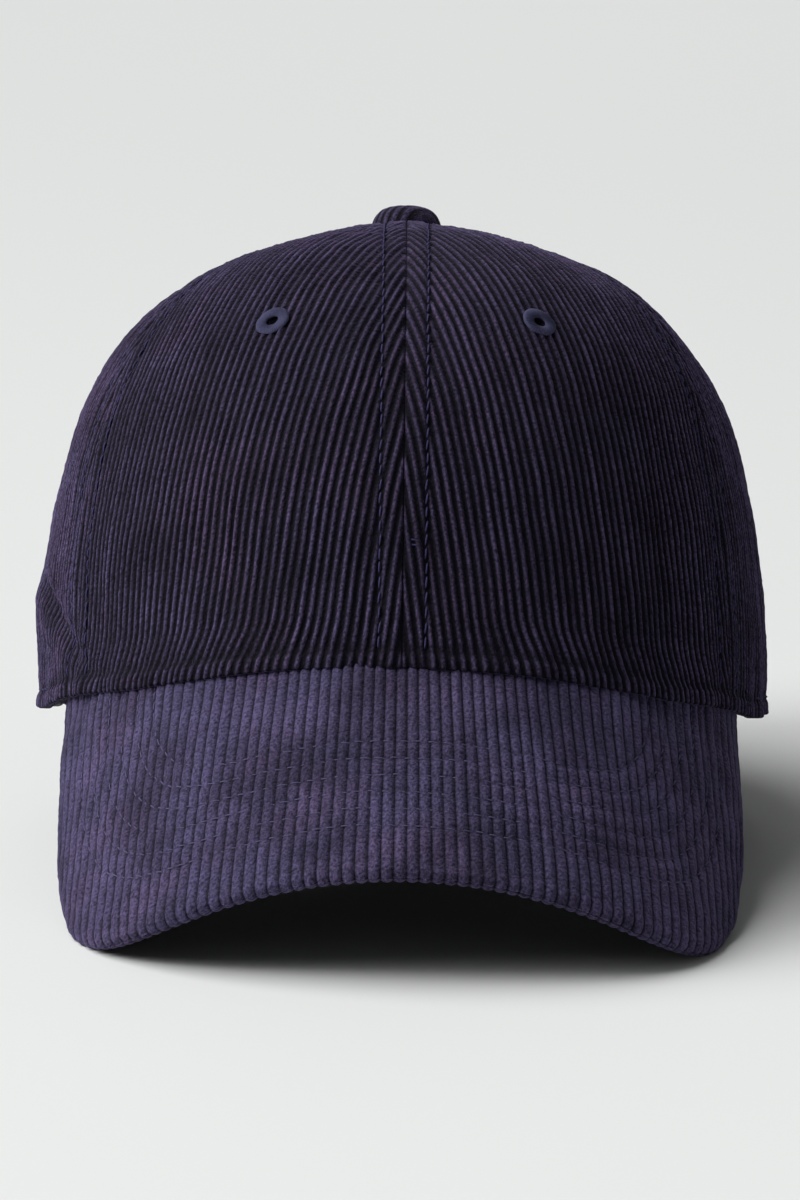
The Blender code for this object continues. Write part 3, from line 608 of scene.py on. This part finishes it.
def build_brim_cover():
    """The brim's corduroy: ribs run forward over the top and curl round the edge."""
    radius = BRIM_THICKNESS / 2
    wide = int(BRIM_HALF_WIDTH / BRIM_RIB * BRIM_RIB_STEPS)
    at = np.arange(-wide, wide + 1) * BRIM_RIB / BRIM_RIB_STEPS
    at = at[np.abs(at) < BRIM_HALF_WIDTH - 0.0001]
    at = np.concatenate([[-BRIM_HALF_WIDTH], at, [BRIM_HALF_WIDTH]])
    fan = BRIM_FAN * at * (1 - (at / BRIM_HALF_WIDTH) ** 2)
    stop, start = brim_front(at), brim_seam(at - fan, 0.0) - 0.0010
    edge_rows = np.array([0.0034, 0.0027, 0.0021, 0.0016, 0.0012, 0.00085, 0.00055, 0.0003, 0.00012, 0.0])
    length = BRIM_LENGTH + 0.0010
    shares = np.concatenate([np.arange(0, length - 0.0042, 0.0012), length - edge_rows]) / length
    across = at - fan * (1 - shares[:, None])
    forward = start + (stop - start) * shares[:, None]
    slope = np.gradient(stop, at)
    outline = 1 / np.sqrt(1 + slope ** 2)
    inside = np.minimum((stop - forward) * outline, BRIM_HALF_WIDTH - np.abs(across))
    rounding = radius * (1 - np.sqrt(1 - (1 - np.clip(inside / BRIM_ROLL, 0, 1)) ** 2))
    base = brim_point(across, forward, rounding)
    above = unit(brim_point(across, forward, -0.001) - brim_point(across, forward, 0.0))
    normals = outward_normals(base, above)
    relief, furrows = brim_relief(across, forward)
    pile = np.broadcast_to(rib(at, BRIM_RIB, 0.70) * rib_tones(at, BRIM_RIB), across.shape)
    tall = 1 + 0.3 * lumps(np.stack([across * 3, forward, 0 * across], axis=-1), 0.010, 23)
    # this factor flattens the ribs in the stitch furrows, at the lip and towards the sides, and it also
    # darkens the pile's colour there: painted shade
    pressed_and_shaded = (1 - 0.5 * furrows) * smooth(0, 0.002, BRIM_HALF_WIDTH - np.abs(across))
    out = relief + BRIM_RIB_DEPTH * (pile * tall - 0.6) * pressed_and_shaded + random.normal(0, 0.00004, pile.shape)
    over_board = smooth(0.0004, 0.0010, inside)
    out = out + over_board * np.maximum(rounding - 0.00080 - out, 0)
    top = base + normals * out[..., None]
    rows, columns = pile.shape

    border = [r * columns for r in range(rows)] + [(rows - 1) * columns + c for c in range(1, columns)]
    border += [r * columns + columns - 1 for r in range(rows - 2, -1, -1)]
    edge_across, edge_forward = across.ravel()[border], forward.ravel()[border]
    sideways, ahead = -slope * outline, outline
    normal_a = np.concatenate([np.full(rows - 1, -1.0), sideways, np.full(rows - 1, 1.0)])
    normal_f = np.concatenate([np.zeros(rows - 1), ahead, np.zeros(rows - 1)])
    edge_pile = np.concatenate([np.full(rows - 1, 0.6), rib(at, BRIM_RIB), np.full(rows - 1, 0.6)])
    under, under_pile = [], []
    for turn, extra in [(10, 0), (25, 0), (42, 0), (60, 0), (76, 0), (90, 0), (90, 0.0012), (90, 0.0024)]:
        drawn_in = radius * (1 - math.cos(math.radians(turn))) + extra
        depth = radius + radius * math.sin(math.radians(turn))
        lift = BRIM_RIB_DEPTH * (edge_pile - 0.6) * (0.9 if extra == 0 else 0.5)
        drawn_in = drawn_in - lift * math.cos(math.radians(turn))
        depth = depth + lift * math.sin(math.radians(turn))
        inner = edge_across - normal_a * drawn_in, edge_forward - normal_f * drawn_in
        under.append(brim_point(*inner, depth))
        under_pile.append(edge_pile)
    points = np.concatenate([top.reshape(-1, 3)] + under)
    faces = [face[::-1] for face in grid_faces(rows, columns)]
    count, run = rows * columns, len(border)
    rings = [border] + [list(range(count + k * run, count + (k + 1) * run)) for k in range(len(under))]
    for upper, lower in zip(rings, rings[1:]):
        faces += [(upper[k], upper[k + 1], lower[k + 1], lower[k]) for k in range(run - 1)]
    shade = np.concatenate([(pile * pressed_and_shaded).ravel()] + under_pile)
    made = make_mesh("cloth_brim", points, faces, pile=shade)
    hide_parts("brim_top_cover")
    return made


def brim_run(inset, depth, sign):
    """One stitch row on the brim, up one side, along its front curve and down the other side."""
    half = BRIM_HALF_WIDTH - inset
    end = float(brim_seam(half, 0.0)) + 0.0010
    side = np.linspace(end, BRIM_CORNER_START, 40)
    turns = np.linspace(-math.pi / 2, math.pi / 2, 500)
    across = np.concatenate([np.full(40, -half), half * np.sin(turns), np.full(40, half)])
    forward = np.concatenate([side, brim_front(half * np.sin(turns), inset), side[::-1]])
    relief = brim_relief(across, forward)[0] if sign > 0 else 0
    points = brim_point(across, forward, depth - relief)
    normals = unit(brim_point(across, forward, -0.001) - brim_point(across, forward, 0.0)) * sign
    return points, normals


def build_brim_stitches():
    top = [brim_run(inset, 0.0, 1) for inset in BRIM_STITCH_INSETS]
    under = [brim_run(inset, BRIM_THICKNESS - 0.0001, -1) for inset in BRIM_STITCH_INSETS]
    made = [stitches("stitches_brim", top, thread=0.00018, sink=0.00002)]
    made.append(stitches("stitches_brim_under", under))
    return made


def build_brim_lining():
    """The black under cover, a thin slab under the board."""
    inset, rows = BRIM_CLOTH + 2 * GAP, 44
    half = BRIM_HALF_WIDTH - inset
    at = half * np.sin(np.linspace(-math.pi / 2, math.pi / 2, 161))
    share = np.linspace(0, 1, rows)[:, None]
    across = np.broadcast_to(at, (rows, len(at)))
    layers = []
    for depth in (BRIM_THICKNESS, BRIM_THICKNESS - 0.0006):
        start = brim_seam(at, depth)
        forward = start + (brim_front(at, inset) - start) * share
        layers.append(brim_point(across, forward, depth - 0.4 * brim_relief(across, forward)[0]))
    made = make_mesh("cloth_under_brim", np.array(layers), slab_faces(rows, len(at)))
    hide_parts("brim_under_cover")
    return made


# -------------------- inside the crown
def slab(name, surface, thickness):
    """A thin piece on the inside of the crown; surface gives its azimuths, climbs and insets."""
    azimuth, climb, inset = surface
    shape = crown_normal(azimuth, climb) * inner_shape(azimuth, climb)[..., None]
    layers = [crown_point(azimuth, climb, -depth) + shape for depth in (inset, inset + thickness)]
    return make_mesh(name, np.array(layers), slab_faces(*azimuth.shape))


def build_tape(name, seam):
    start = FACING_WIDTH + OPENING_HEIGHT + 2 * GAP if name == "rear" else 2 * GAP
    rows, columns = 70, 9
    climbs = np.linspace(float(climb_at(start, CLOTH)), math.acos(TAPE_TOP_REACH), rows)[:, None]
    turn = math.radians(seam)
    spread = np.linalg.norm(crown_point(turn + 1e-3, climbs) - crown_point(turn, climbs), axis=-1) / 1e-3
    share = np.linspace(-1, 1, columns)[None, :]
    azimuth = turn + share * TAPE_HALF_WIDTH / spread
    inset = CLOTH + GAP + 0.0002 * bump_at(np.abs(share), 0.83, 0.12)
    made = slab(f"tape_{name}", (azimuth, climbs, inset), TAPE_CLOTH)
    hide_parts(f"seam_tape_{name}")
    return made


def build_facing():
    rows, columns = 5, 90
    widen = np.linspace(2 * GAP, FACING_WIDTH, rows)[:, None]
    x, z = arch_outline(np.linspace(0, math.pi, columns), widen)
    climb = climb_at(z, CLOTH)
    azimuth = np.arccos(x / crown_point(0.0, climb, -CLOTH)[..., 0])
    made = slab("tape_arch", (azimuth, climb, CLOTH + GAP), TAPE_CLOTH)
    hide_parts("opening_facing")
    return made


def build_sweatband():
    """The band inside the hem, slightly wavy, with a rolled lower edge."""
    rows, columns = 16, 420
    first, last = (math.radians(a) for a in BAND_SPAN)
    azimuth = np.broadcast_to(np.linspace(first, last, columns), (rows, columns))
    height = np.linspace(0.0003, BAND_HEIGHT, rows)[:, None]
    inset = CLOTH + TAPE_CLOTH + 2 * GAP
    inset = inset + 0.0004 * (1 + np.sin(azimuth * 23)) * smooth(0.012, 0.030, height)
    inset = inset + 0.0005 * bump_at(height, 0.0, 0.0018)
    made = slab("band_inside", (azimuth, climb_at(height), inset), BAND_CLOTH)
    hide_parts("sweatband")
    runs = []
    turns = np.linspace(first + 0.02, last - 0.02, 700)
    for level in (0.0032, 0.0275):
        climb = climb_at(np.full(700, level))
        wave = 0.0004 * (1 + np.sin(turns * 23)) * (level > 0.01)
        depth = CLOTH + TAPE_CLOTH + 2 * GAP + BAND_CLOTH + wave
        normals = crown_normal(turns, climb)
        shape = normals * inner_shape(turns, climb)[:, None]
        runs.append((crown_point(turns, climb, -depth) + shape, -normals))
    row = stitches("stitches_band", runs)
    return made, row


# -------------------- strap
def buckle_axes():
    """The buckle's origin on the rear wall, and its directions along the strap, outwards and up."""
    middle, step = STRAP_BOTTOM + STRAP_WIDTH / 2, 0.001
    origin = rear_point(BUCKLE_PLACE, middle, TUCKED)
    ahead = rear_point(BUCKLE_PLACE + step, middle, TUCKED) - origin
    up = unit(rear_point(BUCKLE_PLACE, middle + step, TUCKED) - origin)
    outward = unit(np.cross(up, ahead))
    return origin, np.cross(outward, up), outward, up


def flat_path(along, inset):
    origin, ahead, outward, _ = buckle_axes()
    offset = rear_point(along, STRAP_BOTTOM + STRAP_WIDTH / 2, inset) - origin
    return np.stack([offset @ ahead, offset @ outward], axis=-1)


def build_strap(name, path):
    """A strap of folded corduroy whose ribs run along it, with a stitch row near each edge."""
    origin, ahead, outward, up = buckle_axes()
    travelled = travel(path)
    count = int(travelled[-1] / 0.0006)
    at = np.linspace(0, travelled[-1], count)
    line = np.stack([np.interp(at, travelled, path[:, k]) for k in range(2)], axis=-1)
    for _ in range(6):
        line[1:-1] = (line[:-2] + 2 * line[1:-1] + line[2:]) / 4
    run = unit(np.gradient(line, axis=0))
    normal = np.stack([-run[:, 1], run[:, 0]], axis=-1)
    half, thick = STRAP_WIDTH / 2, STRAP_CLOTH / 2
    turns = np.arange(112) * 2 * math.pi / 112
    width = half * np.sign(np.cos(turns)) * np.abs(np.cos(turns)) ** 0.30
    depth = thick * np.sign(np.sin(turns)) * np.abs(np.sin(turns)) ** 0.45
    spread = half * 0.985 * np.interp(turns % math.pi, [0.2, math.pi - 0.2], [1, -1])
    spread = spread * np.where(turns < math.pi, 1, -1)
    width = np.where(np.abs(np.sin(turns)) > 0.25, spread, width)    # evenly spread over each face
    ribs = rib(width, 0.0023)
    furrow = bump_at(np.abs(width), 0.0072, 0.0006)
    depth = depth * (0.80 + 0.20 * ribs - 0.3 * furrow)
    centre = origin + line[:, :1] * ahead + line[:, 1:] * outward
    across = normal[:, :1] * ahead + normal[:, 1:] * outward
    points = centre[:, None] + width[None, :, None] * up + depth[None, :, None] * across[:, None]
    faces = grid_faces(count, len(turns), closed=True)
    faces += [tuple(range(len(turns)))[::-1], tuple(range((count - 1) * len(turns), count * len(turns)))]
    made = make_mesh(f"cloth_{name}", points, faces, pile=np.broadcast_to(ribs, (count, len(turns))))
    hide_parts(name)
    runs = [(centre + side * 0.0072 * up + across * thick * 0.6, across) for side in (-1, 1)]
    row = stitches(f"stitches_{name}", runs)
    return made, row


def build_straps():
    along = np.linspace(STRAP_REACH, -STRAP_TAIL, 120)
    dip = smooth(0, STRAP_DIP_LENGTH, STRAP_DIP_START - along)
    long_strap = build_strap("strap_long", flat_path(along, ANCHORED + (TUCKED - ANCHORED) * dip))
    bar_x, bar_y = BAR_PLACE
    loop = BAR_RADIUS + GAP + STRAP_CLOTH / 2
    sewn = flat_path(-STRAP_REACH + 0.005 * np.arange(4), ANCHORED)
    turns = np.radians(np.arange(-90, 91, 15))
    bend = np.stack([bar_x + loop * np.cos(turns), bar_y + loop * np.sin(turns)], axis=-1)
    near, far = [[bar_x - 1.6 * loop, bar_y - loop]], [[bar_x - 1.4 * loop, bar_y + 0.85 * loop]]
    return long_strap + build_strap("strap_tab", np.concatenate([sewn, near, bend, far]))


# -------------------- materials
def new_material(name, roughness, specular):
    """A material, its nodes, its shader, and the place on the object that patterns are laid out by."""
    made = bpy.data.materials.new(name)
    made.use_nodes = True
    shader = made.node_tree.nodes["Principled BSDF"]
    shader.inputs["Roughness"].default_value = roughness
    shader.inputs["Specular IOR Level"].default_value = specular
    place = node(made.node_tree, "ShaderNodeTexCoord").outputs["Object"]
    return made, made.node_tree, shader, place


def node(tree, kind, settings=(), **sockets):
    made = tree.nodes.new(kind)
    for key, value in dict(settings).items():
        setattr(made, key, value)
    for key, value in sockets.items():
        made.inputs[key].default_value = value
    return made


def mix(tree, factor, first, second, blend="MIX"):
    """A colour mix; first and second are colours or sockets."""
    made = node(tree, "ShaderNodeMix", {"data_type": "RGBA", "blend_type": blend})
    for index, value in ((0, factor), (6, first), (7, second)):
        if isinstance(value, bpy.types.NodeSocket):
            tree.links.new(value, made.inputs[index])
        else:
            made.inputs[index].default_value = value if index == 0 else (*value, 1.0)
    return made.outputs[2]


def noise_value(tree, place, scale, detail=3.0, low=0.3, high=0.7):
    """Noise over the surface, spread over 0 to 1."""
    grain = node(tree, "ShaderNodeTexNoise", Scale=scale, Detail=detail, Roughness=0.6)
    tree.links.new(place, grain.inputs["Vector"])
    spread = node(tree, "ShaderNodeMapRange", **{"From Min": low, "From Max": high})
    tree.links.new(grain.outputs[0], spread.inputs["Value"])
    return spread.outputs[0]


def bump(tree, shader, height, strength, distance):
    made = node(tree, "ShaderNodeBump", Strength=strength, Distance=distance)
    tree.links.new(height, made.inputs["Height"])
    tree.links.new(made.outputs[0], shader.inputs["Normal"])


def shade_of(colour, factor):
    return tuple(c * factor for c in colour)


def corduroy(name, colour, sheen, tint, crest, groove):
    """Cut pile: grooves painted dark as painted shade, rib crests painted lighter as painted highlight,
    brushed patches and fibres; the crest is the pile's range.
    """
    made, tree, shader, place = new_material(name, 0.85, 0.10)
    pile = node(tree, "ShaderNodeAttribute", {"attribute_name": "pile"}).outputs["Fac"]
    crest_highlight = node(tree, "ShaderNodeMapRange", **{"From Min": crest[0], "From Max": crest[1]})
    tree.links.new(pile, crest_highlight.inputs["Value"])
    patches = noise_value(tree, place, 55.0, 4.0, 0.35, 0.65)
    fibres = noise_value(tree, place, 1500.0, 2.0)
    warmth = noise_value(tree, place, 38.0, 3.0, 0.40, 0.62)
    tops = mix(tree, patches, shade_of(colour, 0.75), shade_of(colour, 1.65))
    tops = mix(tree, 1.0, tops, mix(tree, warmth, (0.975, 1.0, 1.025), (1.06, 0.955, 0.965)), "MULTIPLY")
    # the pile value blends the colour from the painted shade of the grooves to the lit rib tops: painted
    # shade and painted highlight
    ribs = mix(tree, crest_highlight.outputs[0], shade_of(colour, groove), tops)
    flecks = mix(tree, fibres, (0.35, 0.35, 0.35), (1.72, 1.70, 1.76))
    tree.links.new(mix(tree, 1.0, ribs, flecks, "MULTIPLY"), shader.inputs["Base Color"])
    bump(tree, shader, fibres, 0.7, 0.00025)
    shader.inputs["Sheen Weight"].default_value = sheen
    shader.inputs["Sheen Roughness"].default_value = 0.38
    shader.inputs["Sheen Tint"].default_value = (*tint, 1.0)
    return made


def woven(name, colour, pitch, roughness=0.8, twill=True, sheen=0.1):
    """Twill from slanting bands, or plain weave from crossed ones."""
    made, tree, shader, place = new_material(name, roughness, 0.2)
    scale = math.pi / 10 / pitch
    heights = []
    for direction in (("DIAGONAL",) if twill else ("X", "Z")):
        settings = {"bands_direction": direction}
        bands = node(tree, "ShaderNodeTexWave", settings, Scale=scale, Distortion=0.6)
        tree.links.new(place, bands.inputs["Vector"])
        heights.append(bands.outputs["Fac"])
    weave = mix(tree, 0.5, heights[0], heights[-1])
    dust = noise_value(tree, place, 90.0)
    tone = mix(tree, dust, shade_of(colour, 0.75), shade_of(colour, 1.25))
    tree.links.new(mix(tree, weave, shade_of(colour, 0.45), tone), shader.inputs["Base Color"])
    bump(tree, shader, weave, 0.5, 0.0002)
    shader.inputs["Sheen Weight"].default_value = sheen
    return made


def thread_material(name, colour):
    made, tree, shader, place = new_material(name, 0.7, 0.15)
    twist = noise_value(tree, place, 3800.0, 2.0)
    tone = mix(tree, twist, shade_of(colour, 0.6), shade_of(colour, 1.3))
    tree.links.new(tone, shader.inputs["Base Color"])
    bump(tree, shader, twist, 0.4, 0.0001)
    return made


def metal(name, colour, roughness):
    """Satin metal with darker tarnish in patches and fine scratches."""
    made, tree, shader, place = new_material(name, roughness, 0.5)
    shader.inputs["Metallic"].default_value = 1.0
    tarnish = noise_value(tree, place, 260.0, 5.0)
    scratches = noise_value(tree, place, 1500.0, 6.0)
    tree.links.new(mix(tree, tarnish, shade_of(colour, 0.55), colour), shader.inputs["Base Color"])
    gloss = node(tree, "ShaderNodeMapRange", **{"To Min": roughness * 0.7, "To Max": roughness * 1.4})
    tree.links.new(scratches, gloss.inputs["Value"])
    tree.links.new(gloss.outputs[0], shader.inputs["Roughness"])
    bump(tree, shader, scratches, 0.12, 0.0001)
    return made


def plastic(name, colour, roughness):
    """Moulded sheet with a fine grain and faint clouding."""
    made, tree, shader, place = new_material(name, roughness, 0.5)
    clouds = noise_value(tree, place, 70.0)
    tone = mix(tree, clouds, shade_of(colour, 0.9), shade_of(colour, 1.1))
    tree.links.new(tone, shader.inputs["Base Color"])
    bump(tree, shader, noise_value(tree, place, 1800.0), 0.15, 0.0001)
    return made


def paint(piece, look):
    """Gives a piece its material, on every slot that it has."""
    if not piece.data.materials:
        piece.data.materials.append(look)
    for part in piece.material_slots:
        part.material = look


# -------------------- studio
def build_floor():
    bpy.ops.mesh.primitive_plane_add(size=30.0, location=(0, 6.0, 0))
    floor = bpy.context.object
    floor.name = "floor"
    made, tree, shader, place = new_material("pale_floor", 0.7, 0.2)
    shader.inputs["Base Color"].default_value = (0.690, 0.700, 0.693, 1.0)
    bump(tree, shader, noise_value(tree, place, 400.0), 0.03, 0.0004)
    paint(floor, made)


def look_at(thing, target):
    thing.rotation_mode = "QUATERNION"
    thing.rotation_quaternion = (Vector(target) - thing.location).to_track_quat("-Z", "Y")


def add_light(name, kind, place, target, energy, **settings):
    lamp = bpy.data.lights.new(name, kind)
    lamp.energy = energy
    for key, value in settings.items():
        setattr(lamp, key, value)
    made = bpy.data.objects.new(name, lamp)
    bpy.context.scene.collection.objects.link(made)
    made.location = place
    look_at(made, target)


def build_studio():
    build_floor()
    world = bpy.data.worlds.new("studio")
    bpy.context.scene.world = world
    world.use_nodes = True
    sky = world.node_tree.nodes["Background"]
    sky.inputs["Color"].default_value = (0.98, 1.0, 0.99, 1.0)
    sky.inputs["Strength"].default_value = 0.13
    add_light("key", "SUN", (-1.0, 0.1, 1.3), (0, 0, 0), 2.95, angle=math.radians(58))
    add_light("side", "AREA", (-2.3, -0.8, 1.45), (0, 0, 0.07), 50.0, size=1.3)
    add_light("back", "AREA", (0.0, 3.2, 2.4), (0.0, 3.2, 0.0), 13.0, size=2.0)
    bpy.context.scene.view_settings.view_transform = "Standard"


def build_camera():
    camera = bpy.data.objects.new("camera", bpy.data.cameras.new("camera"))
    bpy.context.scene.collection.objects.link(camera)
    camera.data.lens = 161.5
    camera.data.clip_end = 100
    camera.location = (0.0, -1.2089, 0.2729)
    look_at(camera, (-0.0006, 0.0199, 0.0538))
    roll = Matrix.Rotation(math.radians(0.6), 3, "Z").to_quaternion()
    camera.rotation_quaternion = camera.rotation_quaternion @ roll
    bpy.context.scene.camera = camera


# -------------------- the cap
# the brim's corduroy is the crown's cloth painted lighter, with wider lit rib tops: painted light on the
# brim, which faces up towards the light
NAVY, LIT_BRIM_NAVY, NAVY_TINT = (0.0350, 0.0274, 0.0567), (0.0360, 0.0303, 0.0620), (0.40, 0.32, 0.64)
crown_look = corduroy("corduroy_crown", NAVY, 0.34, NAVY_TINT, (0.42, 1.0), 0.09)
lit_brim_look = corduroy("corduroy_brim_lit", LIT_BRIM_NAVY, 0.30, NAVY_TINT, (0.0, 0.65), 0.12)
thread_look = thread_material("thread", (0.036, 0.031, 0.095))
eyelet_look = thread_material("thread_eyelet", (0.046, 0.046, 0.100))
# the brim's thread is painted lighter than the crown's: painted light on the brim
lit_brim_thread_look = thread_material("thread_brim_lit", (0.075, 0.066, 0.140))
# the under cover is black twill painted darker still: painted shade beneath the brim
shaded_lining_look = woven("twill_black_shaded", (0.0035, 0.0035, 0.0038), 0.0011, roughness=0.95, sheen=0.0)
band_look = woven("twill_band", (0.020, 0.018, 0.030), 0.0012)
tape_look = woven("tape", (0.012, 0.012, 0.014), 0.0008, twill=False)
brass_look = metal("brass", (0.60, 0.42, 0.18), 0.32)
steel_look = metal("steel", (0.52, 0.52, 0.53), 0.35)
board_look = plastic("board", (0.55, 0.55, 0.53), 0.45)

for name in PANELS:
    paint(build_panel(name), crown_look)
    paint(build_eyelet(name), eyelet_look)
for piece in build_crown_stitches():
    paint(piece, thread_look)
for piece in build_brim_stitches():
    paint(piece, lit_brim_thread_look)
paint(build_button_cover(), crown_look)
paint(build_brim_cover(), lit_brim_look)
paint(build_brim_lining(), shaded_lining_look)
for name, seam in SEAMS.items():
    paint(build_tape(name, seam), tape_look)
paint(build_facing(), tape_look)
band, band_row = build_sweatband()
paint(band, band_look)
paint(band_row, thread_look)
for piece in build_straps():
    paint(piece, thread_look if piece.name.startswith("stitches") else crown_look)
paint(frame["nodes"]["brim_board"], board_look)
for name in ("button_core", "button_washer"):
    paint(frame["nodes"][name], steel_look)
for name in ("buckle_frame", "buckle_lever", "buckle_pin"):
    paint(frame["nodes"][name], brass_look)
    edge = frame["nodes"][name].modifiers.new("edge", "BEVEL")
    edge.width, edge.segments, edge.limit_method = 0.00025, 2, "ANGLE"

build_studio()
build_camera()
